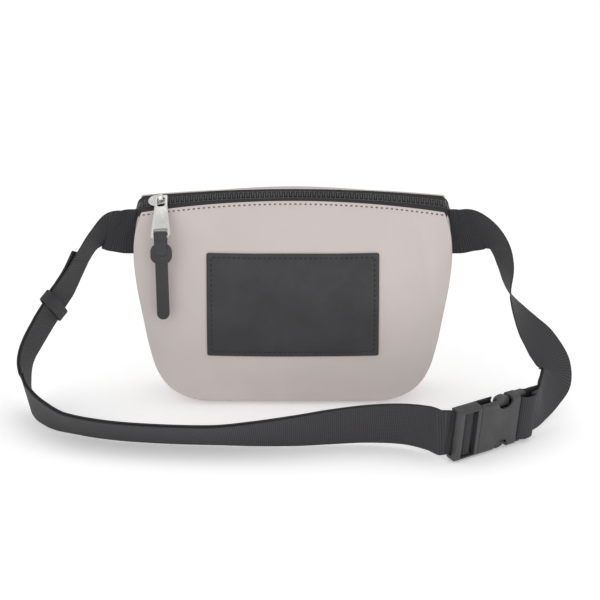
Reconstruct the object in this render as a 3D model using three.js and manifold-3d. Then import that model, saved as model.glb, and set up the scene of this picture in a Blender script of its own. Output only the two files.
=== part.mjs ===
// A belt bag: a soft zipped pouch with a leather patch, worn on a webbing belt with a
// side-release buckle. Millimetres, +X to the pouch's right end, +Y to its back, +Z up.
// The origin is the middle of the flat base, and the belt lies in a loop in front of the pouch.
import * as THREE from "three";
import { mergeVertices } from "three/addons/utils/BufferGeometryUtils.js";
import Module from "manifold-3d";

const wasm = await Module();
wasm.setup();

// ---- Driving dimensions ----
const FABRIC = 1.4; // coated fabric with its lining
const GAP = 0.35; // clearance that separate pieces keep where they meet
const BASE_RISE = 4; // the base's seams stand this high above the floor
const SIDE_RISE = 0.9; // how far the gusset stands out from its seams at the sides
const SEAM_DEPTH = 58; // front seam to back seam at the base

const ZIP_TILT = THREE.MathUtils.degToRad(28); // the zip faces up and forward
const ZIP_RADIUS = 700; // the zip's line is a shallow arch
const ZIP_CENTRE = new THREE.Vector3(0, -3, 167.5);
const ZIP_HALF_LENGTH = 119; // to the pouch's corners
const TAPE_HALF_LENGTH = 116.5;
const TAPE_HALF_WIDTH = 6;
const TAPE_END_FLARE = 2.5; // how much wider the tape shows at its ends
const TAPE_THICKNESS = 0.8;
const TOOTH_PITCH = 3.7;
const TOOTH_SIZE = 1.45;
const SLIDER_AT = -106; // where the closed slider is parked

const WEBBING_WIDTH = 37;
const WEBBING_THICKNESS = 1.5;
const LAYER_STEP = 2; // middle of one webbing layer to the middle of the next
const WEBBING_HEIGHT = 136; // middle of the webbing where it is sewn into a side
const SIDE_REACH = 126.8; // a webbing's sewn end, from the pouch's middle

const BUCKLE_CORNER = new THREE.Vector3(121, -141.6, 22.9); // middle of the plug's outer bar
const BUCKLE_TURN = THREE.MathUtils.degToRad(36.5);
const BUCKLE_LEAN = THREE.MathUtils.degToRad(8);
const BUCKLE_HEIGHT = 43;
const BUCKLE_HALF_DEPTH = 6;
const RAIL = 2.6; // the buckle's top and bottom rails
const SOCKET_START = 21.4;
const SOCKET_END = 59;

const colours = {
  fabric: 0xc7bebb, leather: 0x403f41, tape: 0x3b3a3c, teeth: 0x343335,
  metal: 0xcdcdcb, webbing: 0x3c3a3c, plastic: 0x434343, binding: 0x8f8884,
};
const finish = (name, roughness, metalness = 0) =>
  new THREE.MeshStandardMaterial({ color: colours[name], roughness, metalness });
const finishes = {
  fabric: finish("fabric", 0.7), leather: finish("leather", 0.6), tape: finish("tape", 0.85),
  teeth: finish("teeth", 0.5), metal: finish("metal", 0.3, 1), webbing: finish("webbing", 0.9),
  plastic: finish("plastic", 0.5), binding: finish("binding", 0.85),
};

const V = (x, y, z) => new THREE.Vector3(x, y, z);
const mix = THREE.MathUtils.lerp;
const steps = (count) => Array.from({ length: count + 1 }, (_, i) => i / count);

// ---- Solids from points ----

/** Turns a closed indexed geometry's faces outward. */
function facingOut(geometry) {
  const p = geometry.attributes.position;
  const index = geometry.index.array;
  const corner = (i) => new THREE.Vector3().fromBufferAttribute(p, index[i]);
  let volume = 0;
  for (let i = 0; i < index.length; i += 3) {
    volume += corner(i).dot(corner(i + 1).cross(corner(i + 2)));
  }
  if (volume < 0) {
    for (let i = 0; i < index.length; i += 3) {
      [index[i], index[i + 1]] = [index[i + 1], index[i]];
    }
  }
  return geometry;
}

function indexed(points, triangles) {
  const geometry = new THREE.BufferGeometry().setFromPoints(points);
  geometry.setIndex(triangles);
  return facingOut(geometry);
}

/** A closed solid through rings of the same number of points, capped at both ends. */
function loft(rings) {
  const n = rings[0].length;
  const triangles = [];
  for (let r = 0; r + 1 < rings.length; r++) {
    for (let i = 0; i < n; i++) {
      const [a, b] = [r * n + i, r * n + ((i + 1) % n)];
      triangles.push(a, b, a + n, b, b + n, a + n);
    }
  }
  const last = (rings.length - 1) * n;
  for (let i = 1; i + 1 < n; i++) {
    triangles.push(0, i + 1, i, last, last + i, last + i + 1);
  }
  return indexed(rings.flat(), triangles);
}

/** A closed sheet between two grids of points, outer and inner, of the same size. */
function sheet(outer, inner) {
  const rows = outer.length;
  const columns = outer[0].length;
  const at = (side, r, c) => side * rows * columns + r * columns + c;
  const triangles = [];
  const quad = (a, b, c, d) => triangles.push(a, b, c, a, c, d);
  for (let r = 0; r + 1 < rows; r++) {
    for (let c = 0; c + 1 < columns; c++) {
      quad(at(0, r, c), at(0, r, c + 1), at(0, r + 1, c + 1), at(0, r + 1, c));
      quad(at(1, r, c), at(1, r + 1, c), at(1, r + 1, c + 1), at(1, r, c + 1));
    }
  }
  for (let c = 0; c + 1 < columns; c++) {
    const r = rows - 1;
    quad(at(0, 0, c), at(1, 0, c), at(1, 0, c + 1), at(0, 0, c + 1));
    quad(at(0, r, c), at(0, r, c + 1), at(1, r, c + 1), at(1, r, c));
  }
  for (let r = 0; r + 1 < rows; r++) {
    const c = columns - 1;
    quad(at(0, r, 0), at(0, r + 1, 0), at(1, r + 1, 0), at(1, r, 0));
    quad(at(0, r, c), at(1, r, c), at(1, r + 1, c), at(0, r + 1, c));
  }
  return indexed([...outer.flat(), ...inner.flat()], triangles);
}

/** The same faces with shared corners, and without faces that merging has closed up. */
function merged(geometry) {
  const bare = geometry.clone();
  bare.deleteAttribute("normal");
  bare.deleteAttribute("uv");
  const shared = mergeVertices(bare, 1e-4);
  const kept = [];
  for (let i = 0; i < shared.index.count; i += 3) {
    const [a, b, c] = shared.index.array.slice(i, i + 3);
    if (a !== b && b !== c && c !== a) kept.push(a, b, c);
  }
  shared.setIndex(kept);
  return shared;
}

function toSolid(geometry) {
  const shared = merged(geometry);
  return new wasm.Manifold(new wasm.Mesh({
    numProp: 3,
    vertProperties: new Float32Array(shared.attributes.position.array),
    triVerts: new Uint32Array(shared.index.array),
  }));
}

function fromSolid(solid) {
  const { vertProperties, triVerts } = solid.getMesh();
  const geometry = new THREE.BufferGeometry();
  geometry.setAttribute("position", new THREE.BufferAttribute(new Float32Array(vertProperties), 3));
  geometry.setIndex(Array.from(triVerts));
  return geometry;
}

const joined = (...parts) => fromSolid(parts.map(toSolid).reduce((a, b) => a.add(b)));
const cut = (part, ...tools) =>
  fromSolid(tools.map(toSolid).reduce((a, b) => a.subtract(b), toSolid(part)));

/** A box between two corners. */
function block([x0, x1], [y0, y1], [z0, z1]) {
  const box = new THREE.BoxGeometry(x1 - x0, y1 - y0, z1 - z0);
  return box.translate((x0 + x1) / 2, (y0 + y1) / 2, (z0 + z1) / 2);
}

/** An outline in X and Y, raised from z0 to z1. */
function raised(shape, z0, z1, curveSegments = 6) {
  const options = { depth: z1 - z0, bevelEnabled: false, curveSegments };
  return new THREE.ExtrudeGeometry(shape, options).translate(0, 0, z0);
}

/** A rounded rectangle centred on (x, y). */
function roundedRectangle(x, y, width, height, radius) {
  const [l, r, b, t] = [x - width / 2, x + width / 2, y - height / 2, y + height / 2];
  const shape = new THREE.Shape();
  shape.moveTo(l + radius, b).lineTo(r - radius, b);
  shape.absarc(r - radius, b + radius, radius, -Math.PI / 2, 0);
  shape.lineTo(r, t - radius).absarc(r - radius, t - radius, radius, 0, Math.PI / 2);
  shape.lineTo(l + radius, t).absarc(l + radius, t - radius, radius, Math.PI / 2, Math.PI);
  shape.lineTo(l, b + radius).absarc(l + radius, b + radius, radius, Math.PI, Math.PI * 1.5);
  return shape;
}

const model = new THREE.Group();

function add(parent, name, geometry, material) {
  const mesh = new THREE.Mesh(geometry, finishes[material]);
  mesh.name = name;
  parent.add(mesh);
  return mesh;
}

// ---- The zip's line ----
// u runs along the arch, v across it towards the back, and n stands off its face.

const ZIP_V = V(0, Math.cos(ZIP_TILT), Math.sin(ZIP_TILT));
const ZIP_N = V(0, -Math.sin(ZIP_TILT), Math.cos(ZIP_TILT));

function zipPoint(x, v, n = 0) {
  const angle = Math.asin(x / ZIP_RADIUS);
  const reach = ZIP_RADIUS + n;
  return ZIP_CENTRE.clone()
    .add(V(reach * Math.sin(angle), 0, 0))
    .addScaledVector(ZIP_N, reach * Math.cos(angle) - ZIP_RADIUS)
    .addScaledVector(ZIP_V, v);
}

const tapeEdge = (x) => TAPE_HALF_WIDTH + TAPE_END_FLARE * (x / ZIP_HALF_LENGTH) ** 2;

// ---- The pouch's fabric ----
// Each panel spans between a seam line at the sides and a profile down its middle.

const PANEL_TOP = TAPE_HALF_WIDTH + 1.4; // panel edge to zip middle, across the zip
const cornerFront = zipPoint(ZIP_HALF_LENGTH, -PANEL_TOP - TAPE_END_FLARE);
const cornerBack = zipPoint(ZIP_HALF_LENGTH, PANEL_TOP + TAPE_END_FLARE);
const middleFront = zipPoint(0, -PANEL_TOP);
const middleBack = zipPoint(0, PANEL_TOP);
const half = SEAM_DEPTH / 2;

const frontSeam = new THREE.CatmullRomCurve3([
  V(52, -half, BASE_RISE), V(78, -half, 5.8), V(95, -half, 14), V(106.5, -28.5, 29),
  V(113, -27.5, 50), V(117.6, -25, 73), V(122.5, -21.5, 100), V(124.6, -17.5, 122),
  V(123.4, -13.5, 139), cornerFront,
]);
const backSeam = new THREE.CatmullRomCurve3([
  V(52, half, BASE_RISE), V(78, half, 5.8), V(95, half, 14), V(106.5, 28.5, 29),
  V(113, 27.5, 50), V(117.6, 26, 73), V(122.5, 23.5, 100), V(124.6, 20.5, 124),
  V(122.5, 17.5, 146), V(119.6, 14.5, 161), cornerBack,
]);
const frontMiddle = new THREE.CatmullRomCurve3([
  V(0, -half, BASE_RISE), V(0, -34.2, 14), V(0, -36, 32), V(0, -36.3, 60), V(0, -34.8, 88),
  V(0, -30.8, 112), V(0, -24.3, 135), V(0, -17.6, 151), middleFront,
]);
const backMiddle = new THREE.CatmullRomCurve3([
  V(0, half, BASE_RISE), V(0, 31.5, 14), V(0, 32, 40), V(0, 31, 90), V(0, 28.5, 130),
  V(0, 23.5, 154), V(0, 16, 168), V(0, 9.5, 172.3), middleBack,
]);

/** A panel's grid: rows from the base to the zip, columns from side to side. */
function panelGrid(seam, middle, rows, columns, inward) {
  return steps(rows).map((t) => {
    const side = seam.getPoint(t);
    const centre = middle.getPoint(t);
    const flatness = mix(3.4, 2, t ** 4);
    return steps(columns).map((s) => {
      const u = Math.sin((s - 0.5) * Math.PI);
      const y = mix(centre.y, side.y, Math.abs(u) ** flatness);
      return V(side.x * u, y + inward, mix(centre.z, side.z, u * u));
    });
  });
}

function panel(seam, middle, inward) {
  const [rows, columns] = [14, 18];
  return sheet(panelGrid(seam, middle, rows, columns, 0),
    panelGrid(seam, middle, rows, columns, inward));
}

/** Points round the pouch, from the left end of the zip under the base to the right end. */
function round(seam, count) {
  const right = seam.getPoints(count).filter((p, i) => i > 0);
  const left = right.map((p) => V(-p.x, p.y, p.z)).reverse();
  const base = [-1, -0.33, 0.33, 1].map((f) => seam.getPoint(0).multiply(V(f, 1, 1)));
  return [...left, ...base, ...right];
}

/** A band round the pouch. edges gives how deep its two edges lie, and rise how far it swells
 *  outward at a height. It stops short of the zip by trim steps at each end. */
function band(across, swell, rise, edges, thickness, trim) {
  const count = 14;
  const kept = (points) => points.slice(trim, points.length - trim);
  const front = kept(round(frontSeam, count));
  const back = kept(round(backSeam, count));
  const layer = (sink) => front.map((a, i) => {
    const before = front[Math.max(i - 1, 0)];
    const after = front[Math.min(i + 1, front.length - 1)];
    const out = V(after.z - before.z, 0, before.x - after.x).normalize();
    const [start, end] = edges(a.y, back[i].y);
    return across.map((q, k) => {
      const y = mix(start, end, q);
      const point = a.clone().lerp(back[i], (y - a.y) / (back[i].y - a.y));
      return point.addScaledVector(out, rise(a.z) * swell[k] - sink);
    });
  });
  return sheet(layer(0), layer(thickness));
}

const SEAM_INSET = FABRIC + 0.9; // what joins at a seam starts this far behind a panel's face

function buildPouch() {
  add(model, "front_panel", panel(frontSeam, frontMiddle, FABRIC), "fabric");
  add(model, "back_panel", panel(backSeam, backMiddle, -FABRIC), "fabric");
  const across = [0, 0.05, 0.14, 0.38, 0.62, 0.86, 0.95, 1];
  const swell = [0, 0.55, 1, 1, 1, 1, 0.55, 0];
  const edges = (front, back) => [front + SEAM_INSET, back - SEAM_INSET];
  const rise = (z) => mix(BASE_RISE, SIDE_RISE, THREE.MathUtils.smoothstep(z, 12, 45));
  add(model, "gusset_band", band(across, swell, rise, edges, FABRIC, 0), "fabric");
}

/** Tapes that bind the raw seams inside the pouch. */
function buildBindings() {
  const [width, share, sink, thickness] = [9, 0.36, 2, 0.9];
  const reach = (front, back) => Math.min(width, (back - front) * share);
  const strip = (edges) => band([0, 1], [-1, -1], () => sink, edges, thickness, 1);
  add(model, "seam_binding_front", strip((front, back) =>
    [front + SEAM_INSET, front + SEAM_INSET + reach(front, back)]), "binding");
  add(model, "seam_binding_back", strip((front, back) =>
    [back - SEAM_INSET - reach(front, back), back - SEAM_INSET]), "binding");
}

/** The leather patch follows the front panel with a small gap behind it. */
function buildPatch() {
  const [width, bottom, top, thickness] = [134, 46, 127, 1.6];
  const grid = (lift) => steps(10).map((t) => steps(14).map((s) => {
    const x = mix(-width / 2, width / 2, s);
    const z = mix(bottom, top, t);
    return V(x, frontFaceAt(x, z) - GAP - lift, z);
  }));
  add(model, "front_patch", sheet(grid(thickness), grid(0)), "leather");
}

/** How far forward the front panel reaches at a place on it. */
function frontFaceAt(x, z) {
  let [low, high] = [0, 1];
  const at = (t) => {
    const side = frontSeam.getPoint(t);
    const centre = frontMiddle.getPoint(t);
    const u = Math.abs(x) / side.x;
    return { y: mix(centre.y, side.y, u ** mix(3.4, 2, t ** 4)), z: mix(centre.z, side.z, u * u) };
  };
  for (let i = 0; i < 24; i++) {
    const t = (low + high) / 2;
    [low, high] = at(t).z < z ? [t, high] : [low, t];
  }
  return at(low).y;
}

// ---- The zip ----

/** A strip of the zip between two lines across it and two heights off it. */
function zipStrip(nearEdge, farEdge, low, high) {
  const layer = (n) => steps(20).map((t) => {
    const x = mix(-TAPE_HALF_LENGTH, TAPE_HALF_LENGTH, t);
    return [zipPoint(x, nearEdge(x), n), zipPoint(x, farEdge(x), n)];
  });
  return sheet(layer(high), layer(low));
}

/** One row of teeth standing from its bead. side is -1 at the front and 1 at the back. */
function teethRow(side) {
  const [tip, root, beadEdge, halfHeight, slope] = [0.6, 2.6, 3.6, 1, 0.1];
  const section = (x, reach) => [[beadEdge, 1], [reach, 1], [reach, -1], [beadEdge, -1]]
    .map(([v, n]) => zipPoint(x, side * v, n * halfHeight));
  const rings = [section(-TAPE_HALF_LENGTH, root)];
  const count = Math.floor(TAPE_HALF_LENGTH / TOOTH_PITCH) - 1;
  for (let k = -count; k < count; k++) {
    const x = (k + (side < 0 ? 0 : 0.5)) * TOOTH_PITCH;
    const [near, far] = [TOOTH_SIZE / 2, TOOTH_SIZE / 2 + slope];
    rings.push(section(x - far, root), section(x - near, tip));
    rings.push(section(x + near, tip), section(x + far, root));
  }
  return loft([...rings, section(TAPE_HALF_LENGTH, root)]);
}

function buildZip() {
  const [thick, inner] = [TAPE_THICKNESS / 2, 3.95];
  for (const [name, side] of [["front", -1], ["back", 1]]) {
    const tape = zipStrip((x) => side * tapeEdge(x), () => side * inner, -thick, thick);
    add(model, `zip_tape_${name}`, tape, "tape");
    add(model, `zip_teeth_${name}`, teethRow(side), "teeth");
  }
}

/** The slider's two plates, joined by a thin post, with an arch for the pull. */
function sliderShape() {
  const [nose, noseAt, tail, tailHalf] = [5.8, -1.7, 7.5, 4.4];
  const [plateIn, plateOut] = [1.6, 2.9];
  const outline = new THREE.Shape();
  outline.moveTo(tail, -tailHalf).lineTo(tail, tailHalf);
  outline.absarc(noseAt, 0, nose, Math.PI * 0.28, Math.PI * 1.72);
  const top = raised(outline, plateIn, plateOut, 20);
  const bottom = raised(outline, -plateOut, -plateIn, 20);
  const post = block([-6, -2.5], [-0.3, 0.3], [-plateIn - 0.3, plateIn + 0.3]);
  return joined(top, bottom, post, archShape(plateOut));
}

const PULL_AT = V(3.4, 0, 5.2); // the pull's bar, from the slider's middle

function archShape(foot) {
  const [outer, inner, halfLength] = [3.6, 1.9, 1.5];
  const arch = new THREE.Shape();
  arch.moveTo(outer, 0).absarc(0, PULL_AT.z, outer, 0, Math.PI);
  arch.lineTo(-outer, 0).closePath();
  const hole = new THREE.Path().absarc(0, PULL_AT.z + 0.1, inner, 0, Math.PI * 2, true);
  arch.holes.push(hole);
  const solid = raised(arch, -halfLength, halfLength, 10);
  solid.rotateX(Math.PI / 2).rotateZ(Math.PI / 2).translate(PULL_AT.x, 0, 0);
  return cut(solid, block([-9, 9], [-9, 9], [-9, foot - 0.3]));
}

const PULL_LENGTH = 40;
const TAB_BAR = 38.6; // the bar that the leather is folded over, along the pull

/** The metal pull, flat along -Y from its top bar. */
function pullShape() {
  const [thick, ringHalf, windowHalf] = [1.1, 5.1, 3.1];
  const [neckAt, neckHalf, footHalf, corner] = [11.5, 5.35, 7.95, 1.6];
  const outline = new THREE.Shape();
  outline.moveTo(-ringHalf + 1, 1.1).lineTo(ringHalf - 1, 1.1).lineTo(ringHalf, 0.1);
  outline.lineTo(ringHalf, -neckAt + 2).lineTo(neckHalf, -neckAt);
  outline.lineTo(footHalf, -PULL_LENGTH + corner).lineTo(footHalf - corner, -PULL_LENGTH);
  outline.lineTo(-footHalf + corner, -PULL_LENGTH).lineTo(-footHalf, -PULL_LENGTH + corner);
  outline.lineTo(-neckHalf, -neckAt).lineTo(-ringHalf, -neckAt + 2).lineTo(-ringHalf, 0.1);
  const plate = raised(outline, -thick, thick);
  const ring = raised(roundedRectangle(0, -5.3, windowHalf * 2, 8.6, 1.6), -3, 3);
  const slot = raised(roundedRectangle(0, -34.4, 11.4, 6, 0.8), -3, 3);
  return cut(plate, ring, slot);
}

/** The leather tab, hanging along -Y from the pull's lower bar. */
function tabShape() {
  const [bandHalf, eye, outer, halfThick, meets] = [4.9, 2.6, 3.9, 1.6, 8];
  const fold = new THREE.Shape();
  fold.moveTo(-halfThick, -meets).lineTo(-outer, 0);
  fold.absarc(0, 0, outer, Math.PI, 0, true).lineTo(halfThick, -meets);
  fold.holes.push(new THREE.Path().absarc(0, 0, eye, 0, Math.PI * 2));
  const band = raised(fold, -bandHalf, bandHalf, 10).rotateY(Math.PI / 2);
  const head = raised(roundedRectangle(0, -13.5, 16.6, 15, 5.5), -halfThick, halfThick);
  const tail = raised(roundedRectangle(0, -41, 9.6, 50, 4.6), -1.3, 1.3);
  return joined(band, head, tail);
}

function buildSlider() {
  const angle = Math.asin(SLIDER_AT / ZIP_RADIUS);
  const along = V(1, 0, 0).multiplyScalar(Math.cos(angle)).addScaledVector(ZIP_N, -Math.sin(angle));
  const off = along.clone().cross(ZIP_V);
  const slider = new THREE.Group();
  slider.position.copy(zipPoint(SLIDER_AT, 0));
  slider.quaternion.setFromRotationMatrix(new THREE.Matrix4().makeBasis(along, ZIP_V, off));
  model.add(slider);
  add(slider, "zip_slider", sliderShape(), "metal");
  const pull = new THREE.Group();
  pull.position.copy(PULL_AT);
  pull.rotation.x = THREE.MathUtils.degToRad(7); // rests just clear of the pouch
  slider.add(pull);
  add(pull, "zip_pull", pullShape(), "metal");
  const tab = new THREE.Group();
  tab.position.set(0, -TAB_BAR, 0);
  tab.rotation.x = THREE.MathUtils.degToRad(49); // hangs clear of the patch
  tab.rotation.z = THREE.MathUtils.degToRad(-6); // its fold is loose enough to hang plumb
  pull.add(tab);
  add(tab, "pull_tab", tabShape(), "leather");
}

// ---- The buckle ----
// Its own frame: x along it from the plug's outer bar, y through it, z across the webbing.

const buckle = new THREE.Group();
buckle.position.copy(BUCKLE_CORNER);
buckle.rotation.order = "ZXY";
buckle.rotation.z = BUCKLE_TURN;
buckle.rotation.x = BUCKLE_LEAN;
buckle.updateMatrix();
model.add(buckle);

const MIDDLE_BAR = { near: 8.8, far: 13, front: -2.2, back: 1.6 };
const SOCKET_BAR = { near: 62.8, far: 66, half: 1.6 };
const GROOVE = 3.4; // half the width of the way that each prong's catch slides along

/** A length of the buckle's rounded outer form. */
function buckleForm(start, end) {
  const section = roundedRectangle(0, 0, BUCKLE_HEIGHT, BUCKLE_HALF_DEPTH * 2, 3.2);
  return raised(section, start, end, 5).rotateY(Math.PI / 2);
}

function plugShape() {
  const [barWidth, shoulder, end] = [4.2, 17.4, SOCKET_START - 0.4];
  const inner = BUCKLE_HEIGHT / 2 - RAIL;
  const tongue = block([end - 1, 38], [-1.3, 1.3], [-4, 4]);
  const openings = [
    block([barWidth, MIDDLE_BAR.near], [-9, 9], [-inner, inner]),
    block([MIDDLE_BAR.far, shoulder], [-9, 9], [-inner, inner]),
    block([MIDDLE_BAR.near - 1, MIDDLE_BAR.far + 1], [-9, MIDDLE_BAR.front], [-inner, inner]),
    block([MIDDLE_BAR.near - 1, MIDDLE_BAR.far + 1], [MIDDLE_BAR.back, 9], [-inner, inner]),
    block([-1, barWidth + 1], [0, 9], [-inner, inner]),
  ];
  return joined(cut(buckleForm(0, end), ...openings), tongue);
}

/** A sprung arm and its catch; side is 1 above and -1 below. */
function prongShape(side) {
  const half = 3;
  const outline = new THREE.Shape();
  outline.moveTo(21.9, 11.4).lineTo(21.9, 14.6).lineTo(37.6, 16.6).lineTo(38.2, 20.6);
  outline.quadraticCurveTo(44, 24.4, 49.6, 20.4).lineTo(51, 17).lineTo(50.2, 14.4);
  outline.lineTo(38, 13.6).closePath();
  const arm = raised(outline, -half, half, 10).rotateX(Math.PI / 2);
  return facingOut(merged(side > 0 ? arm : arm.scale(1, 1, -1)));
}

function socketShape() {
  const top = BUCKLE_HEIGHT / 2;
  const [cavityHalf, cavityTop] = [4.3, top - RAIL];
  const [windowStart, windowEnd, windowDepth] = [37.2, 51.6, 7.6];
  const cuts = [block([SOCKET_START - 1, SOCKET_END - 2], [-cavityHalf, cavityHalf],
    [-cavityTop, cavityTop])];
  for (const side of [-1, 1]) {
    const span = (a, b) => [a * side, b * side].sort((p, q) => p - q);
    const middle = (windowStart + windowEnd) / 2;
    const notch = roundedRectangle(middle, side * (top + 5), windowEnd - windowStart,
      2 * (windowDepth + 5), 6);
    cuts.push(raised(notch, -9, 9, 8).rotateX(Math.PI / 2));
    cuts.push(block([SOCKET_START - 1, windowStart + 1], [-GROOVE, GROOVE],
      span(cavityTop - 1, top + 2)));
  }
  const shell = cut(buckleForm(SOCKET_START, SOCKET_END), ...cuts);
  const rails = [-1, 1].map((side) => block([SOCKET_END - 1, SOCKET_BAR.far], [-3.2, 3.2],
    [side * (top - RAIL), side * (top - 0.2)].sort((p, q) => p - q)));
  const bar = block([SOCKET_BAR.near, SOCKET_BAR.far], [-SOCKET_BAR.half, SOCKET_BAR.half],
    [-top + 1, top - 1]);
  return joined(shell, ...rails, bar);
}

function buildBuckle() {
  add(buckle, "buckle_plug", plugShape(), "plastic");
  add(buckle, "buckle_prong_upper", prongShape(1), "plastic");
  add(buckle, "buckle_prong_lower", prongShape(-1), "plastic");
  add(buckle, "buckle_socket", socketShape(), "plastic");
}

// ---- The webbing ----
// A route is a list of places on the webbing's middle line, each with the way across it,
// from its lower edge to its upper edge.

const LEFT_ROUTE = [
  [V(-SIDE_REACH, 2, WEBBING_HEIGHT), V(0, 0, 1)],
  [V(-132, 2, WEBBING_HEIGHT), V(0, -0.02, 1)], [V(-139, 0, 137.2), V(0, -0.2, 0.98)],
  [V(-147, -5, 139.5), V(0.05, -0.45, 0.87)], [V(-156, -11.5, 133.5), V(0.02, -0.68, 0.7)],
  [V(-164.5, -16, 122), V(-0.05, -0.78, 0.6)], [V(-172.5, -19, 108), V(-0.12, -0.79, 0.58)],
  [V(-179, -21.5, 97), V(-0.2, -0.79, 0.57)], [V(-188, -24.5, 82.5), V(-0.2, -0.79, 0.57)],
  [V(-197, -27.5, 68), V(-0.2, -0.79, 0.57)], [V(-205, -31, 54), V(-0.22, -0.82, 0.52)],
  [V(-210.5, -35, 41), V(-0.17, -0.87, 0.45)], [V(-211, -40.5, 30.5), V(-0.1, -0.87, 0.48)],
  [V(-209, -48, 23), V(-0.05, -0.74, 0.68)], [V(-205.5, -60, 20.2), V(-0.12, -0.42, 0.9)],
  [V(-198.6, -75.2, 19.4), V(-0.26, -0.3, 0.92)], [V(-187, -90, 18), V(-0.29, -0.45, 0.85)],
  [V(-170, -101.5, 16), V(-0.25, -0.65, 0.72)], [V(-144, -111.6, 15.3), V(-0.19, -0.7, 0.69)],
  [V(-111, -118.4, 15.1), V(-0.1, -0.73, 0.68)], [V(-60, -123, 15.4), V(0.01, -0.73, 0.69)],
  [V(-29, -123.6, 16.8), V(0.02, -0.64, 0.77)], [V(0, -122, 18.4), V(0, -0.53, 0.85)],
  [V(28, -117.4, 19.6), V(-0.01, -0.42, 0.91)],
  [V(58, -115.2, 21.2), V(0, -0.33, 0.94)], [V(85, -119.2, 22.5), V(0, -0.25, 0.97)],
  [V(103, -128.4, 22.9), V(0.05, -0.15, 0.98)],
];
const RIGHT_ROUTE = [
  [V(SIDE_REACH, 2, WEBBING_HEIGHT), V(0, 0, 1)],
  [V(132, 2, WEBBING_HEIGHT), V(0, -0.02, 1)], [V(139.5, 0, 137.8), V(0.02, -0.2, 0.98)],
  [V(147.5, -6.5, 140.4), V(0.08, -0.5, 0.84)], [V(156.5, -15, 138), V(0.2, -0.76, 0.6)],
  [V(163, -20, 129), V(0.3, -0.86, 0.4)], [V(166.5, -23.5, 118), V(0.26, -0.9, 0.33)],
  [V(168.5, -27, 106), V(0.12, -0.93, 0.34)], [V(171, -31.5, 95), V(-0.1, -0.93, 0.32)],
  [V(177, -36, 83.5), V(-0.35, -0.88, 0.25)], [V(185.5, -40, 70.5), V(-0.6, -0.77, 0.16)],
  [V(196, -43, 57), V(-0.78, -0.6, 0.15)], [V(204, -48, 45), V(-0.8, -0.52, 0.25)],
  [V(206, -56, 35.5), V(-0.68, -0.5, 0.5)], [V(200.5, -66, 28), V(-0.42, -0.4, 0.8)],
  [V(194, -77, 24), V(-0.15, -0.22, 0.96)],
];

/** A place in the buckle's frame: along it, and towards its front. */
function inBuckle(along, front) {
  const across = V(0, 0, 1).transformDirection(buckle.matrix);
  return [V(along, -front, 0).applyMatrix4(buckle.matrix), across];
}

/** Places along a smooth line through a route, each with its true across and face directions. */
function smooth(route, perStep) {
  const centres = new THREE.CatmullRomCurve3(route.map((r) => r[0]), false, "centripetal");
  const acrosses = new THREE.CatmullRomCurve3(route.map((r) => r[1]), false, "centripetal");
  return steps((route.length - 1) * perStep).map((t) => {
    const along = centres.getTangent(t);
    const across = acrosses.getPoint(t);
    across.addScaledVector(along, -across.dot(along)).normalize();
    return { centre: centres.getPoint(t), along, across, face: along.clone().cross(across) };
  });
}

/** The same webbing again, one layer further out along its face. */
const layered = (places) => places.map((p) =>
  ({ ...p, centre: p.centre.clone().addScaledVector(p.face, LAYER_STEP) }));

/** A closed band through places; its width lies across and its thickness along the face. */
function webbing(places, width, thickness) {
  return loft(places.map(({ centre, across }, i) => {
    const before = places[Math.max(i - 1, 0)].centre;
    const after = places[Math.min(i + 1, places.length - 1)].centre;
    const face = after.clone().sub(before).normalize().cross(across).normalize();
    const corner = (w, f) => centre.clone()
      .addScaledVector(across, (w * width) / 2).addScaledVector(face, (f * thickness) / 2);
    return [corner(-1, -1), corner(1, -1), corner(1, 1), corner(-1, 1)];
  }));
}

/** Round the plug's middle bar: behind it, over its front and back behind the outer bar. */
const PLUG_TURN = [
  [13.6, -4.4], [15.3, -2.6], [15.4, 0.4], [14.3, 2.6], [12, 3.45], [9.4, 3.35], [7.4, 2.4],
  [6.3, 0.9], [5.3, -0.9], [3.6, -2.4],
];
/** Round the socket's bar: over its front, round its inner side and out behind it. */
const SOCKET_TURN = [
  [69, 3.2], [65.5, 3.7], [62.3, 3], [60.8, 1.4], [60.6, -0.8], [61.8, -3], [64.6, -4.6],
  [69.5, -5.6], [75, -5],
];
const turned = (list) => list.map(([along, front]) => {
  const [centre, across] = inBuckle(along, front);
  return { centre, across };
});

const leftRun = smooth([...LEFT_ROUTE, inBuckle(-4.5, -5.2), inBuckle(3, -4.9),
  inBuckle(9.5, -4.9)], 2);
const rightRun = smooth([...RIGHT_ROUTE, inBuckle(83, -0.6), inBuckle(74, 2)], 2);
const FREE_END = 10; // where on the left run the adjuster's free end stops
const KEEPER_AT = 16; // a straight stretch of the left run
const KEEPER_SKEW = THREE.MathUtils.degToRad(18);
const SEWN_PLACES = 6; // how much of the right run the sewn flap covers

function buildWebbing() {
  const upToPlug = leftRun.filter((place) => place.centre.x < 116);
  const free = layered(upToPlug.slice(FREE_END)).reverse();
  const strapLeft = [...leftRun, ...turned(PLUG_TURN), ...free];
  add(model, "strap_left", webbing(strapLeft, WEBBING_WIDTH, WEBBING_THICKNESS), "webbing");
  const flap = layered(rightRun.slice(-SEWN_PLACES - 2, -2)).reverse();
  const strapRight = [...rightRun, ...turned(SOCKET_TURN), ...flap];
  add(model, "strap_right", webbing(strapRight, WEBBING_WIDTH, WEBBING_THICKNESS), "webbing");
}

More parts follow.
